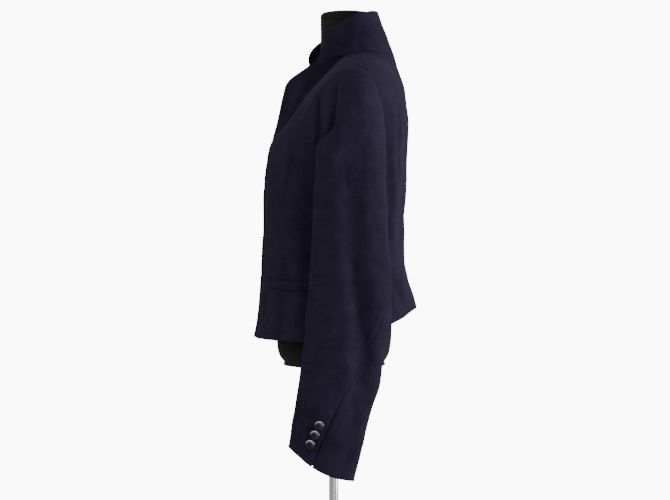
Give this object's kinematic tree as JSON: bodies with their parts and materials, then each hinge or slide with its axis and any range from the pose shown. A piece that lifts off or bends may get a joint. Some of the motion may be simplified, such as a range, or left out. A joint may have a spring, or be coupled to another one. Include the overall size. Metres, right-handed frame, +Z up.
{
  "type": "wool jacket on a dress form",
  "caption": "Fitted wool jacket with a turned-up notched collar, peplum and vented cuffs, worn by a limbless dress form on a pole.",
  "frame": {"origin": "middle of the stand's underside, on the floor", "axes": "+Z up along the pole, the jacket's front faces -Y, the wearer's left is +X"},
  "size_m": [0.459, 0.33, 1.4475],
  "materials": {
    "navy_wool": "matte fine slubby weave",
    "button_metal": "dark antiqued metal with polished rim",
    "form_cover": "matte black jersey cover",
    "chrome": "polished",
    "black_enamel": "satin"
  },
  "bodies": {
    "root": {"front_left": "navy_wool", "front_right": "navy_wool", "back_left": "navy_wool", "back_right": "navy_wool", "collar": "navy_wool", "peplum_front_left": "navy_wool", "peplum_front_right": "navy_wool", "peplum_back_left": "navy_wool", "peplum_back_right": "navy_wool", "pocket_welt_left": "navy_wool", "pocket_welt_right": "navy_wool", "upper_sleeve_left": "navy_wool", "upper_sleeve_right": "navy_wool", "under_sleeve_left": "navy_wool", "under_sleeve_right": "navy_wool", "cuff_button_left_1": "button_metal", "cuff_button_left_2": "button_metal", "cuff_button_left_3": "button_metal", "cuff_button_right_1": "button_metal", "cuff_button_right_2": "button_metal", "cuff_button_right_3": "button_metal", "dress_form": "form_cover", "neck_cap": "black_enamel", "form_flange": "black_enamel", "stand_base": "black_enamel", "stand_pole": "chrome"}
  },
  "joints": []
}
